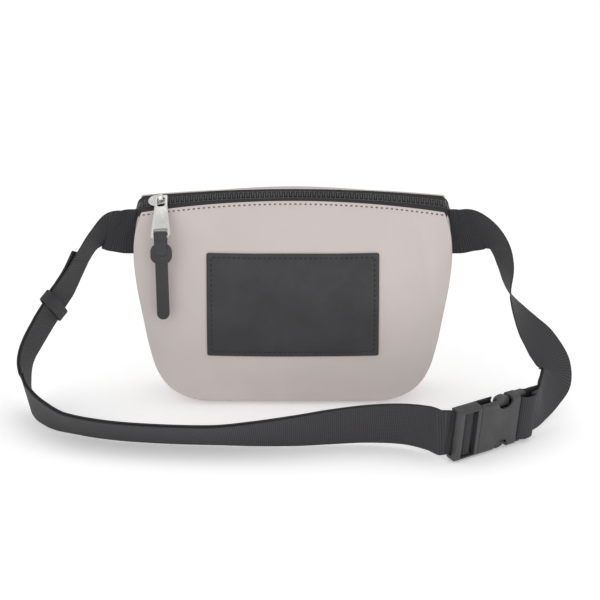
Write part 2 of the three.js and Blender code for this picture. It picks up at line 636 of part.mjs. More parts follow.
/** The keeper is a short band round both layers of the left webbing, sitting a little askew. */
function buildKeeper() {
  const [length, wall, sideRoom, faceRoom] = [10, 1.3, 3.2, 0.6];
  const { centre, along, across, face } = leftRun[KEEPER_AT];
  const innerWidth = WEBBING_WIDTH + 2 * sideRoom;
  const innerDepth = LAYER_STEP + WEBBING_THICKNESS + 2 * faceRoom;
  const outer = roundedRectangle(0, 0, innerWidth + 2 * wall, innerDepth + 2 * wall, 2.4);
  outer.holes.push(roundedRectangle(0, 0, innerWidth, innerDepth, 1.2));
  const mesh = add(model, "keeper_loop", raised(outer, -length / 2, length / 2), "webbing");
  mesh.position.copy(centre).addScaledVector(face, LAYER_STEP / 2);
  const basis = new THREE.Matrix4().makeBasis(across, along.clone().cross(across), along);
  mesh.quaternion.setFromRotationMatrix(basis);
  mesh.rotateY(KEEPER_SKEW);
}

buildPouch();
buildBindings();
buildPatch();
buildZip();
buildSlider();
buildBuckle();
buildWebbing();
buildKeeper();

export default model;
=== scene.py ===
"""The looks of a zipped belt bag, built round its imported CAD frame.

Shapes are worked out in millimetres in the frame's axes (X right, Y back, Z up) and turned into
metres when a mesh is made. Curves repeat the ones that the CAD part was made from.
"""
import math

import bmesh
import bpy
import numpy as np
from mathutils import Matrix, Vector, noise
from mathutils.bvhtree import BVHTree


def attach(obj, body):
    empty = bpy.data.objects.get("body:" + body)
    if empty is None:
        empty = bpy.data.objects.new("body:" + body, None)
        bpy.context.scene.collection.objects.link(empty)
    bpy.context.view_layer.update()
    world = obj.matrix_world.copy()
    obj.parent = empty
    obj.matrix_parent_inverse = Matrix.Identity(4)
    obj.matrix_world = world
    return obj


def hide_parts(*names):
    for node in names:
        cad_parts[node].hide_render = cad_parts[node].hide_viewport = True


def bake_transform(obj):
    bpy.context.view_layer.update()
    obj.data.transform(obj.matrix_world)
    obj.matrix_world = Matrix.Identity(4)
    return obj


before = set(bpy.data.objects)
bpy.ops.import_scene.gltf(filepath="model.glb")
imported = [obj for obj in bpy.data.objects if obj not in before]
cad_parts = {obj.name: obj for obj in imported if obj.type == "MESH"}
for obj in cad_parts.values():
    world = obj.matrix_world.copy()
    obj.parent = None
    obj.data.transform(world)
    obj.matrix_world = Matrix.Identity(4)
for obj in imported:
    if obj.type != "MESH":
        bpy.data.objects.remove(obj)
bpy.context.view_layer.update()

MM = 0.001

# ---- Sizes shared with the CAD part, in millimetres ----
FABRIC = 1.4
BASE_RISE, SIDE_RISE = 4.0, 0.9
ZIP_TILT = math.radians(28)
ZIP_RADIUS = 700.0
ZIP_CENTRE = np.array([0.0, -3.0, 167.5])
ZIP_HALF_LENGTH = 119.0
TAPE_HALF_WIDTH = 6.0
TAPE_END_FLARE = 2.5
PANEL_TOP = TAPE_HALF_WIDTH + 1.4
TOOTH_PITCH = 3.7
WEBBING_WIDTH = 37.0
WEBBING_THICKNESS = 1.5
WEBBING_HEIGHT = 136.0
LAYER_STEP = 2.0
SIDE_REACH = 126.8
SEAM_INSET = FABRIC + 0.9
PATCH_WIDTH, PATCH_BOTTOM, PATCH_TOP, PATCH_THICKNESS = 134.0, 46.0, 127.0, 1.6
BUCKLE_CORNER = np.array([121.0, -141.6, 22.9])
BUCKLE_TURN = math.radians(36.5)
BUCKLE_LEAN = math.radians(8)


def point(*coordinates):
    return np.array(coordinates, float)


def unit(vector):
    return vector / max(np.linalg.norm(vector), 1e-9)


def mix(a, b, t):
    return a + (b - a) * t


# ---- Curves ----

def centripetal(points):
    """A smooth curve through points, as a function of 0 to 1."""
    knots = [np.array(p, float) for p in points]
    knots = [2 * knots[0] - knots[1], *knots, 2 * knots[-1] - knots[-2]]
    spans = len(knots) - 3

    def at(t):
        place = min(max(t, 0.0), 1.0) * spans
        i = min(int(place), spans - 1)
        w = place - i
        a, b, c, d = knots[i:i + 4]
        before, here, after = (np.linalg.norm(q - p) ** 0.5 for p, q in ((a, b), (b, c), (c, d)))
        here = here if here > 1e-4 else 1.0
        before = before if before > 1e-4 else here
        after = after if after > 1e-4 else here
        start = ((b - a) / before - (c - a) / (before + here) + (c - b) / here) * here
        end = ((c - b) / here - (d - b) / (here + after) + (d - c) / after) * here
        return (b + start * w + (3 * (c - b) - 2 * start - end) * w ** 2
                + (2 * (b - c) + start + end) * w ** 3)

    return at


def tangent(curve, t):
    return unit(curve(min(t + 1e-4, 1.0)) - curve(max(t - 1e-4, 0.0)))


def evenly(points, spacing):
    """Points about spacing apart along a line through many points."""
    points = np.array(points)
    run = np.concatenate([[0], np.cumsum(np.linalg.norm(np.diff(points, axis=0), axis=1))])
    count = max(int(round(run[-1] / spacing)), 1)
    wanted = np.linspace(0, run[-1], count + 1)
    return np.stack([np.interp(wanted, run, points[:, k]) for k in range(points.shape[1])], 1)


def spaced(curve, samples, spacing):
    """Shares of a curve, from 0 to 1, at places an even spacing apart along it."""
    shares = np.linspace(0, 1, samples)
    steps = np.linalg.norm(np.diff([curve(t) for t in shares], axis=0), axis=1)
    lengths = np.concatenate([[0], np.cumsum(steps)])
    return np.interp(np.arange(0, lengths[-1], spacing), lengths, shares)


ZIP_V = point(0, math.cos(ZIP_TILT), math.sin(ZIP_TILT))
ZIP_N = point(0, -math.sin(ZIP_TILT), math.cos(ZIP_TILT))


def zip_point(x, v, n=0.0):
    """x along the zip's shallow arch, v across it towards the back, n off its face."""
    angle = math.asin(x / ZIP_RADIUS)
    reach = ZIP_RADIUS + n
    return (ZIP_CENTRE + point(reach * math.sin(angle), 0, 0)
            + ZIP_N * (reach * math.cos(angle) - ZIP_RADIUS) + ZIP_V * v)


CORNER_FRONT = zip_point(ZIP_HALF_LENGTH, -PANEL_TOP - TAPE_END_FLARE)
CORNER_BACK = zip_point(ZIP_HALF_LENGTH, PANEL_TOP + TAPE_END_FLARE)
MIDDLE_FRONT = zip_point(0, -PANEL_TOP)
MIDDLE_BACK = zip_point(0, PANEL_TOP)
front_seam = centripetal([
    (52, -29, 4), (78, -29, 5.8), (95, -29, 14), (106.5, -28.5, 29), (113, -27.5, 50),
    (117.6, -25, 73), (122.5, -21.5, 100), (124.6, -17.5, 122), (123.4, -13.5, 139),
    CORNER_FRONT])
back_seam = centripetal([
    (52, 29, 4), (78, 29, 5.8), (95, 29, 14), (106.5, 28.5, 29), (113, 27.5, 50),
    (117.6, 26, 73), (122.5, 23.5, 100), (124.6, 20.5, 124), (122.5, 17.5, 146),
    (119.6, 14.5, 161), CORNER_BACK])
front_middle = centripetal([
    (0, -29, 4), (0, -34.2, 14), (0, -36, 32), (0, -36.3, 60), (0, -34.8, 88), (0, -30.8, 112),
    (0, -24.3, 135), (0, -17.6, 151), MIDDLE_FRONT])
back_middle = centripetal([
    (0, 29, 4), (0, 31.5, 14), (0, 32, 40), (0, 31, 90), (0, 28.5, 130), (0, 23.5, 154),
    (0, 16, 168), (0, 9.5, 172.3), MIDDLE_BACK])


# ---- Materials ----

class Graph:
    """A short way to write a material's nodes. Inputs are given by name, or as i0, i1 and so on
    by number, and each is a value or another node's output."""

    def __init__(self, name):
        self.material = bpy.data.materials.new(name)
        self.material.use_nodes = True
        self.tree = self.material.node_tree
        self.shader = self.tree.nodes["Principled BSDF"]

    def node(self, kind, outputs=0, settings=None, **inputs):
        made = self.tree.nodes.new(kind)
        for key, value in (settings or {}).items():
            setattr(made, key, value)
        for key, value in inputs.items():
            self.feed(made.inputs[int(key[1:]) if key[1:].isdigit() else key.replace("_", " ")], value)
        return made.outputs[outputs]

    def feed(self, socket, value):
        if isinstance(value, bpy.types.NodeSocket):
            self.tree.links.new(value, socket)
        else:
            socket.default_value = value

    def math(self, operation, a, b=0.0):
        return self.node("ShaderNodeMath", settings={"operation": operation}, i0=a, i1=b)

    def place(self):
        return self.node("ShaderNodeTexCoord", "Object")

    def cloth(self, axis):
        """Millimetres along (axis X) or across (axis Y) a woven piece."""
        made = self.node("ShaderNodeAttribute", "Vector", {"attribute_name": "cloth"})
        return self.node("ShaderNodeSeparateXYZ", axis, Vector=made)

    def noise(self, scale, detail=3.0, vector=None, roughness=0.55):
        return self.node("ShaderNodeTexNoise", "Fac", Vector=vector or self.place(), Scale=scale,
                         Detail=detail, Roughness=roughness)

    def cells(self, scale):
        return self.node("ShaderNodeTexVoronoi", "Distance", Vector=self.place(), Scale=scale)

    def stretch(self, value, low, high, new_low=0.0, new_high=1.0):
        return self.node("ShaderNodeMapRange", 0, i0=value, i1=low, i2=high, i3=new_low, i4=new_high)

    def colours(self, share, first, second):
        return self.node("ShaderNodeMix", 2, {"data_type": "RGBA"}, i0=share, i6=(*first, 1),
                         i7=(*second, 1))

    def ribs(self, coordinate, period):
        """A wave from 0 to 1 with the given period in millimetres."""
        turns = self.math("MULTIPLY", coordinate, math.tau / period)
        return self.stretch(self.math("SINE", turns), -1.0, 1.0)

    def relief(self, height, depth, strength=1.0, under=None):
        inputs = {"Strength": strength, "Distance": depth, "Height": height}
        if under is not None:
            inputs["Normal"] = under
        return self.node("ShaderNodeBump", 0, **inputs)

    def finish(self, **inputs):
        for key, value in inputs.items():
            self.feed(self.shader.inputs[key.replace("_", " ")], value)
        return self.material


def linear(*rgb):
    """A colour on the 0 to 255 scale, as the linear values that shaders take."""
    return tuple((c / 255 / 12.92) if c <= 10 else ((c / 255 + 0.055) / 1.055) ** 2.4 for c in rgb)


def fabric_material():
    """Matte coated cloth: a very fine grain, faint clouding and slightly darker handled places."""
    g = Graph("coated_fabric")
    clouds = g.stretch(g.noise(14, 4), 0.3, 0.7)
    colour = g.colours(clouds, linear(201, 192, 189), linear(194, 185, 182))
    grain = g.noise(2600, 2)
    weave = g.cells(1500)
    normal = g.relief(weave, 0.00004, 0.5, g.relief(grain, 0.00006, 0.6))
    rough = g.stretch(g.noise(60, 3), 0.3, 0.7, 0.56, 0.68)
    return g.finish(Base_Color=colour, Roughness=rough, Normal=normal, Sheen_Weight=0.04,
                    Sheen_Roughness=0.5)


def leather_material(name, base, high):
    g = Graph(name)
    pebbles = g.cells(1100)
    pores = g.noise(3200, 3)
    worn = g.stretch(g.noise(32, 5), 0.35, 0.75)
    colour = g.colours(worn, base, high)
    height = g.math("ADD", g.math("MULTIPLY", pebbles, 0.7), g.math("MULTIPLY", pores, 0.5))
    rough = g.stretch(g.noise(90, 3), 0.3, 0.7, 0.5, 0.66)
    return g.finish(Base_Color=colour, Roughness=rough, Specular_IOR_Level=0.35,
                    Normal=g.relief(height, 0.00009, 0.7))


def webbing_material():
    """Ribbed webbing: weft ribs across it and finer warp lines along it."""
    g = Graph("ribbed_webbing")
    ribs = g.ribs(g.cloth("X"), RIB_PITCH)
    lines = g.ribs(g.cloth("Y"), 1.35)
    bumps = g.math("MULTIPLY", g.math("POWER", ribs, 0.6), g.math("POWER", lines, 0.5))
    fuzz = g.noise(2400, 3)
    share = g.math("MULTIPLY", bumps, g.stretch(fuzz, 0.25, 0.75, 0.6, 1.0))
    colour = g.colours(share, linear(42, 41, 43), linear(76, 75, 78))
    normal = g.relief(bumps, 0.00016, 0.7, g.relief(fuzz, 0.00006, 0.4))
    return g.finish(Base_Color=colour, Roughness=0.8, Normal=normal, Specular_IOR_Level=0.25,
                    Sheen_Weight=0.05, Sheen_Roughness=0.5)


def tape_material():
    """Zip tape: a fine twill."""
    g = Graph("zip_tape_twill")
    slant = g.math("ADD", g.cloth("X"), g.math("MULTIPLY", g.cloth("Y"), 1.2))
    twill = g.ribs(slant, 0.9)
    fuzz = g.noise(2500, 2)
    share = g.math("MULTIPLY", twill, g.stretch(fuzz, 0.2, 0.8, 0.5, 1.0))
    colour = g.colours(share, linear(36, 35, 37), linear(66, 64, 66))
    return g.finish(Base_Color=colour, Roughness=0.82, Normal=g.relief(twill, 0.00012, 0.7),
                    Specular_IOR_Level=0.3)


def plastic_material(name, base, high, rough=0.42):
    """Moulded plastic with a fine spark-eroded texture and slightly paler rubbed places."""
    g = Graph(name)
    rubbed = g.stretch(g.noise(45, 4), 0.4, 0.8)
    grain = g.noise(2200, 4, roughness=0.7)
    gloss = g.stretch(g.noise(130, 2), 0.3, 0.7, rough - 0.05, rough + 0.08)
    return g.finish(Base_Color=g.colours(rubbed, base, high), Roughness=gloss,
                    Normal=g.relief(grain, 0.00005, 0.5))


def metal_material():
    """Satin plated zinc with faint brushing and small worn spots."""
    g = Graph("satin_plated_metal")
    streaks = g.noise(500, 3)
    spots = g.stretch(g.noise(150, 5), 0.55, 0.8)
    rough = g.math("ADD", g.stretch(streaks, 0.3, 0.7, 0.2, 0.32), g.math("MULTIPLY", spots, 0.1))
    colour = g.colours(spots, linear(222, 221, 218), linear(196, 195, 192))
    return g.finish(Base_Color=colour, Metallic=1.0, Roughness=rough,
                    Normal=g.relief(streaks, 0.00003, 0.35))


def thread_material(name, first, second):
    g = Graph(name)
    twist = g.ribs(g.cloth("X"), 0.45)
    return g.finish(Base_Color=g.colours(twist, first, second), Roughness=0.6,
                    Normal=g.relief(twist, 0.00008, 0.6))


def binding_material():
    g = Graph("binding_tape")
    weave = g.cells(1300)
    return g.finish(Base_Color=g.colours(weave, linear(120, 112, 108), linear(160, 152, 148)),
                    Roughness=0.85, Normal=g.relief(weave, 0.0001, 0.6))


def floor_material():
    g = Graph("pale_floor")
    mottle = g.stretch(g.noise(3, 2), 0.3, 0.7)
    return g.finish(Base_Color=g.colours(mottle, (0.93, 0.93, 0.93), (0.95, 0.95, 0.95)),
                    Roughness=0.9, Emission_Color=(1, 1, 1, 1), Emission_Strength=0.24)


RIB_PITCH = 1.5
FABRIC_LOOK = fabric_material()
PATCH_LOOK = leather_material("patch_leather", linear(50, 50, 52), linear(58, 58, 60))
TAB_LOOK = leather_material("tab_leather", linear(50, 49, 51), linear(66, 65, 67))
WEBBING_LOOK = webbing_material()
TAPE_LOOK = tape_material()
TEETH_LOOK = plastic_material("zip_teeth_moulded", linear(46, 45, 47), linear(60, 59, 61), 0.26)
PLASTIC_LOOK = plastic_material("buckle_plastic", linear(52, 52, 53), linear(66, 66, 67))
METAL_LOOK = metal_material()
THREAD_LOOK = thread_material("brown_thread", linear(84, 73, 69), linear(112, 99, 94))
DARK_THREAD_LOOK = thread_material("dark_thread", linear(14, 14, 15), linear(34, 34, 36))
BINDING_LOOK = binding_material()


# ---- Meshes ----

def make(name, vertices, faces, material, cloth=None):
    """A smooth-shaded mesh object from points in millimetres."""
    mesh = bpy.data.meshes.new(name)
    mesh.from_pydata([tuple(float(c) * MM for c in v) for v in vertices], [], faces)
    mesh.validate()
    tidy = bmesh.new()
    tidy.from_mesh(mesh)
    bmesh.ops.recalc_face_normals(tidy, faces=tidy.faces)
    tidy.to_mesh(mesh)
    tidy.free()
    mesh.shade_smooth()
    if cloth is not None:
        attribute = mesh.attributes.new("cloth", "FLOAT_VECTOR", "POINT")
        attribute.data.foreach_set("vector", np.array(cloth, np.float32).ravel())
    made = bpy.data.objects.new(name, mesh)
    bpy.context.scene.collection.objects.link(made)
    mesh.materials.append(material)
    return made


def dress(piece, body, slot, *nodes):
    """Says what a piece rides on and the CAD nodes it stands for, which it hides. Its slot argument is
    not used.
    """
    if body:
        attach(piece, body)
    if nodes:
        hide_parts(*nodes)
    return piece


def grid_faces(rows, columns):
    """The four-sided faces between a grid's points, which are numbered row by row."""
    return [[r * columns + c, r * columns + c + 1, (r + 1) * columns + c + 1, (r + 1) * columns + c]
            for r in range(rows - 1) for c in range(columns - 1)]


def border(rows, columns):
    """Grid places round the edge, with the place inside each."""
    loop = [(0, c) for c in range(columns)] + [(r, columns - 1) for r in range(1, rows)]
    loop += [(rows - 1, c) for c in range(columns - 2, -1, -1)]
    loop += [(r, 0) for r in range(rows - 2, 0, -1)]
    inside = [(min(max(r, 1), rows - 2), min(max(c, 1), columns - 2)) for r, c in loop]
    return loop, inside


def shell(outer, inner, roundness=1.0):
    """A closed sheet between two grids, with a rounded rim."""
    turns = 4
    rows, columns = outer.shape[:2]
    count = rows * columns
    vertices = [*outer.reshape(-1, 3), *inner.reshape(-1, 3)]
    faces = grid_faces(rows, columns)
    faces += [[count + i for i in reversed(face)] for face in faces]
    loop, inside = border(rows, columns)
    rings = [[r * columns + c for r, c in loop]]
    for k in range(1, turns):
        angle = math.pi * k / turns
        ring = []
        for edge, near in zip(loop, inside):
            first, last = outer[edge], inner[edge]
            through = last - first
            out = first - outer[near]
            out = unit(out - unit(through) * out.dot(unit(through)))
            reach = np.linalg.norm(through) / 2 * roundness * math.sin(angle)
            ring.append(len(vertices))
            vertices.append(mix(first, last, (1 - math.cos(angle)) / 2) + out * reach)
        rings.append(ring)
    rings.append([count + i for i in rings[0]])
    for a, b in zip(rings, rings[1:]):
        for i in range(len(a)):
            j = (i + 1) % len(a)
            faces.append([a[i], b[i], b[j], a[j]])
    return vertices, faces


def tube_rings(rings, closed=False):
    """Faces that join rings of points, capped unless they close into a loop."""
    count, sides = len(rings), len(rings[0])
    vertices = [p for ring in rings for p in ring]
    faces = []
    for r in range(count if closed else count - 1):
        s = (r + 1) % count
        for i in range(sides):
            j = (i + 1) % sides
            faces.append([r * sides + i, r * sides + j, s * sides + j, s * sides + i])
    if not closed:
        faces.append(list(range(sides))[::-1])
        faces.append([(count - 1) * sides + i for i in range(sides)])
    return vertices, faces


def merge(parts):
    """Several (vertices, faces) lists as one."""
    vertices, faces = [], []
    for more, its_faces in parts:
        faces += [[i + len(vertices) for i in face] for face in its_faces]
        vertices += list(more)
    return vertices, faces


def refined(node, name, material, bevel, body, slot):
    """A copy of a hard CAD piece with its flat faces joined and its edges rounded."""
    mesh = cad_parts[node].data.copy()
    mesh.name = name
    work = bmesh.new()
    work.from_mesh(mesh)
    bmesh.ops.remove_doubles(work, verts=work.verts, dist=1e-6)
    bmesh.ops.dissolve_limit(work, angle_limit=math.radians(1.5), verts=work.verts, edges=work.edges)
    work.to_mesh(mesh)
    work.free()
    mesh.materials.clear()
    mesh.materials.append(material)
    piece = bpy.data.objects.new(name, mesh)
    bpy.context.scene.collection.objects.link(piece)
    rounding = piece.modifiers.new("rounding", "BEVEL")
    rounding.width = bevel * MM
    rounding.segments = 3
    rounding.limit_method = "ANGLE"
    rounding.angle_limit = math.radians(25)
    rounding.use_clamp_overlap = True
    rounding.harden_normals = True
    bpy.context.view_layer.update()
    shown = piece.evaluated_get(bpy.context.evaluated_depsgraph_get())
    piece.data = bpy.data.meshes.new_from_object(shown)
    piece.modifiers.clear()
    piece.data.shade_smooth()
    piece.data.set_sharp_from_angle(angle=math.radians(40))
    return dress(piece, body, slot, node)


# ---- The pouch ----

def panel_grid(seam, middle, rows, columns):
    grid = np.zeros((rows + 1, columns + 1, 3))
    for i in range(rows + 1):
        t = i / rows
        side, centre = seam(t), middle(t)
        flatness = mix(3.4, 2.0, t ** 4)
        for j in range(columns + 1):
            u = math.sin((j / columns - 0.5) * math.pi)
            y = mix(centre[1], side[1], abs(u) ** flatness)
            grid[i, j] = (side[0] * u, y, mix(centre[2], side[2], u * u))
    return grid


# Soft hollows and swells in a panel: where (x, z), how wide (x, z), how it leans, how deep.
FRONT_FOLDS = [
    (-108, 118, 7, 34, 0.25, 1.1), (-96, 60, 9, 30, 0.2, -0.7), (104, 122, 6, 30, -0.22, 1.3),
    (93, 112, 8, 34, -0.3, -0.8), (98, 40, 12, 22, -0.7, 1.0), (-96, 34, 12, 20, 0.7, 0.9),
    (-20, 22, 46, 7, 0.0, 0.5), (52, 141, 40, 6, 0.1, 0.35), (-40, 144, 36, 6, -0.08, 0.3),
]
BACK_FOLDS = [
    (-60, 60, 9, 44, 0.2, 0.9), (48, 90, 10, 40, -0.25, 0.8), (0, 140, 60, 8, 0.0, 0.7),
    (-100, 120, 8, 30, 0.2, 1.1), (100, 118, 8, 30, -0.2, 1.1), (20, 26, 40, 8, 0.1, 0.6),
]


def fold_depth(x, z, folds):
    depth = 0.22 * noise.noise(Vector((x * 0.022, z * 0.026, 3.1)))
    for at_x, at_z, wide, tall, lean, how_deep in folds:
        along = (z - at_z) / tall
        across = (x - at_x - lean * (z - at_z)) / wide
        depth += how_deep * math.exp(-along * along - across * across)
    return depth


def eased(grid, folds, sign):
    """The grid with its folds; sign is 1 where the inside lies towards +Y. Its rim stays put."""
    rim_steps = 9
    rows, columns = grid.shape[:2]
    out = grid.copy()
    for i in range(rows):
        for j in range(columns):
            rim = min(i, rows - 1 - i, j * 0.7, (columns - 1 - j) * 0.7) / rim_steps
            share = min(rim, 1.0) ** 1.5
            x, _, z = grid[i, j]
            out[i, j, 1] += sign * share * fold_depth(x, z, folds)
    return out


CLOTH_SCALE = 10  # the cloth is simulated larger than life, where the solver is steady
CLOTH_FRAMES = 14
CLOTH_CAP = 1.3  # the most that the simulation moves a point


def inflated(grid, sign):
    """A cloth simulation with the rim held: light pressure from inside rounds the panel and
    draws it tight round its folds."""
    coarse = grid[::2, ::2]
    rows, columns = coarse.shape[:2]
    faces = grid_faces(rows, columns)
    if sign < 0:
        faces = [face[::-1] for face in faces]
    mesh = bpy.data.meshes.new("panel_cloth")
    mesh.from_pydata([tuple(p * MM * CLOTH_SCALE) for p in coarse.reshape(-1, 3)], [], faces)
    cloth_object = bpy.data.objects.new("panel_cloth", mesh)
    bpy.context.scene.collection.objects.link(cloth_object)
    held = cloth_object.vertex_groups.new(name="held")
    held.add([r * columns + c for r, c in border(rows, columns)[0]], 1.0, "REPLACE")
    cloth = cloth_object.modifiers.new("cloth", "CLOTH")
    settings = cloth.settings
    settings.quality = 6
    settings.mass = 0.3
    settings.tension_stiffness = 40
    settings.compression_stiffness = 40
    settings.shear_stiffness = 20
    settings.bending_stiffness = 4
    settings.vertex_group_mass = "held"
    settings.use_pressure = True
    settings.uniform_pressure_force = 1.2
    settings.effector_weights.gravity = 0
    cloth.point_cache.frame_start = 1
    cloth.point_cache.frame_end = CLOTH_FRAMES
    for number in range(1, CLOTH_FRAMES + 1):
        bpy.context.scene.frame_set(number)
    shown = cloth_object.evaluated_get(bpy.context.evaluated_depsgraph_get())
    moved = np.array([v.co for v in shown.data.vertices]) / (MM * CLOTH_SCALE)
    bpy.context.scene.frame_set(1)
    bpy.data.objects.remove(cloth_object)
    shift = moved.reshape(rows, columns, 3) - coarse
    size = np.linalg.norm(shift, axis=2, keepdims=True)
    shift *= np.minimum(1, CLOTH_CAP / np.maximum(size, 1e-9))
    fine_rows = np.linspace(0, rows - 1, grid.shape[0])
    fine_columns = np.linspace(0, columns - 1, grid.shape[1])
    halfway = np.stack([[np.interp(fine_columns, range(columns), row[:, k]) for k in range(3)]
                        for row in shift])
    full = np.stack([[np.interp(fine_rows, range(rows), halfway[:, k, c]) for k in range(3)]
                     for c in range(grid.shape[1])])
    return grid + full.transpose(2, 0, 1)


def panel(name, seam, middle, folds, sign, node):
    grid = inflated(eased(panel_grid(seam, middle, 92, 128), folds, sign), sign)
    inner = grid + point(0, sign * FABRIC, 0)
    piece = make(name, *shell(grid, inner), FABRIC_LOOK)
    dress(piece, "bag", "pouch_fabric", node)
    return grid


def round_seam(seam, count):
    right = [seam(k / count) for k in range(1, count + 1)]
    left = [p * point(-1, 1, 1) for p in reversed(right)]
    base = [seam(0.0) * point(f, 1, 1) for f in np.linspace(-1, 1, 24)]
    return [*left, *base, *right]


def gusset_rise(z):
    """How far the gusset stands out from its seams: most under the base, little at the sides."""
    share = min(max((z - 12) / 33, 0), 1)
    return mix(BASE_RISE, SIDE_RISE, share * share * (3 - 2 * share))


def gusset():
    """The band round the pouch, swelling out between its two seams, with soft puckers. It stops
    short of the corners, where the zip's ends turn down over it."""
    count, open_steps = 70, 4
    front = round_seam(front_seam, count)[open_steps:-open_steps]
    back = round_seam(back_seam, count)[open_steps:-open_steps]
    across = [0, 0.02, 0.05, 0.1, 0.16, 0.25, 0.38, 0.5, 0.62, 0.75, 0.84, 0.9, 0.95, 0.98, 1]
    swell = np.interp(across, [0, 0.05, 0.14, 0.38, 0.62, 0.86, 0.95, 1],
                      [0, 0.55, 1, 1, 1, 1, 0.55, 0])
    grids = []
    for sink in (0, FABRIC):
        rows = []
        for i, (a, b) in enumerate(zip(front, back)):
            before, after = front[max(i - 1, 0)], front[min(i + 1, len(front) - 1)]
            out = unit(point(after[2] - before[2], 0, before[0] - after[0]))
            standing = min(max((a[2] - 8) / 20, 0), 1)
            row = []
            for q, s in zip(across, swell):
                y = mix(a[1] + SEAM_INSET - 0.7, b[1] - SEAM_INSET + 0.7, q)
                base = mix(a, b, (y - a[1]) / (b[1] - a[1]))
                pucker = 0.5 * standing * s * noise.noise(Vector((a[2] * 0.09, q * 3, a[0] * 0.01)))
                row.append(base + out * (gusset_rise(a[2]) * s - sink + pucker))
            rows.append(row)
        grids.append(np.array(rows))
    piece = make("gusset_fabric", *shell(grids[0], grids[1]), FABRIC_LOOK)
    dress(piece, "bag", "pouch_fabric", "gusset_band")


def capsule(start, end, normal, radius):
    """One stitch: a thread between two needle holes, sunk at both ends."""
    flat = 0.75  # its height as a share of its width
    along = end - start
    side = unit(np.cross(along, normal))
    rings = []
    for t in (0.0, 0.08, 0.25, 0.5, 0.75, 0.92, 1.0):
        middle = mix(start, end, t) + normal * (radius * 1.1 * math.sin(math.pi * t) - radius * 0.4)
        size = radius * (0.35 + 0.65 * math.sin(math.pi * min(max(t, 0.06), 0.94)) ** 0.4)
        rings.append([middle + side * size * math.cos(a) + normal * size * flat * math.sin(a)
                      for a in np.linspace(0, math.tau, 9)[:-1]])
    return tube_rings(rings)


STITCH_PITCH = 4.0
HEM_DEPTH = 1.7  # the hem's stitches lie this far below the panel's edge


def stitch_line(name, line, normals, share, radius, thread, slot):
    """A row of stitches on the pouch along a line of points. share is how much of the pitch each
    stitch covers."""
    joined = np.concatenate([np.array(line), np.array(normals)], axis=1)
    places = evenly(joined, STITCH_PITCH)
    stitches, cloth = [], []
    for a, b in zip(places, places[1:]):
        start, end = a[:3], b[:3]
        normal = unit(a[3:] + b[3:])
        gap = (1 - share) / 2
        first, last = mix(start, end, gap), mix(start, end, 1 - gap)
        stitches.append(capsule(first, last, normal, radius))
        cloth += [(np.dot(v - first, unit(last - first)), 0, 0) for v in stitches[-1][0]]
    piece = make(name, *merge(stitches), thread, cloth)
    dress(piece, "bag", slot)


def hem_line(grid, down):
    """A line on the front panel at a distance below its zip edge, with outward normals."""
    line, normals = [], []
    for j in range(3, grid.shape[1] - 3):
        column = grid[::-1, j]
        run = np.concatenate([[0], np.cumsum(np.linalg.norm(np.diff(column, axis=0), axis=1))])
        place = point(*(np.interp(down, run, column[:, k]) for k in range(3)))
        i = grid.shape[0] - 1 - int(np.searchsorted(run, down))
        normal = np.cross(grid[i, j + 1] - grid[i, j - 1], grid[i + 1, j] - grid[i - 1, j])
        line.append(place)
        normals.append(unit(normal))
    return line, normals


def surface_of(grid):
    return BVHTree.FromPolygons([tuple(p) for p in grid.reshape(-1, 3)], grid_faces(*grid.shape[:2]))


def on_front(tree, x, z):
    """The front panel's surface point and outward normal at a place seen from the front."""
    place, normal, _, _ = tree.ray_cast(Vector((x, -200, z)), Vector((0, 1, 0)))
    normal = point(*normal)
    return point(*place), normal if normal[1] < 0 else -normal


def patch(tree):
    """The leather patch: rounded corners, a burnished rim and a stitched edge."""
    corner, inset = 1.3, 3.2
    height = PATCH_TOP - PATCH_BOTTOM
    from_edge = [0, 0.25, 0.6, 1.1, 1.8, 2.6, 4]
    rows = [*from_edge, *np.linspace(7, height - 7, 26), *(height - d for d in reversed(from_edge))]
    wide = [*from_edge, *np.linspace(7, PATCH_WIDTH - 7, 40),
            *(PATCH_WIDTH - d for d in reversed(from_edge))]
    grids = np.zeros((2, len(rows), len(wide), 3))
    for i, up in enumerate(rows):
        edge = min(up, height - up)
        pull = corner - math.sqrt(max(corner ** 2 - max(corner - edge, 0) ** 2, 0))
        for j, along in enumerate(wide):
            x = (along - PATCH_WIDTH / 2) * (1 - 2 * pull / PATCH_WIDTH)
            place, normal = on_front(tree, x, PATCH_BOTTOM + up)
            near = min(edge, along, PATCH_WIDTH - along)
            sunk = 0.35 * math.exp(-((near - inset) / 0.9) ** 2) + 0.3 * max(1 - near / 1.2, 0) ** 2
            grids[0, i, j] = place + normal * (PATCH_THICKNESS + 0.2 - sunk)
            grids[1, i, j] = place + normal * 0.25
    piece = make("patch_leather", *shell(grids[0], grids[1], 0.8), PATCH_LOOK)
    dress(piece, "bag", "patch_leather", "front_patch")
    half_x, low, high = PATCH_WIDTH / 2 - inset, PATCH_BOTTOM + inset, PATCH_TOP - inset
    corners = [(-half_x, high), (half_x, high), (half_x, low), (-half_x, low), (-half_x, high)]
    for number, (a, b) in enumerate(zip(corners, corners[1:])):
        line, normals = [], []
        for t in np.linspace(0, 1, 60):
            place, normal = on_front(tree, mix(a[0], b[0], t), mix(a[1], b[1], t))
            line.append(place + normal * (PATCH_THICKNESS - 0.1))
            normals.append(normal)
        stitch_line(f"patch_stitches_{number + 1}", line, normals, 0.6, 0.45, DARK_THREAD_LOOK,
                    "patch_leather")


# ---- The zip ----

END_BEND = 114.5
END_RADIUS = 9.0
END_TURN = math.radians(85)
TAPE_REACH = END_BEND + 18
TEETH_REACH = END_BEND + 16


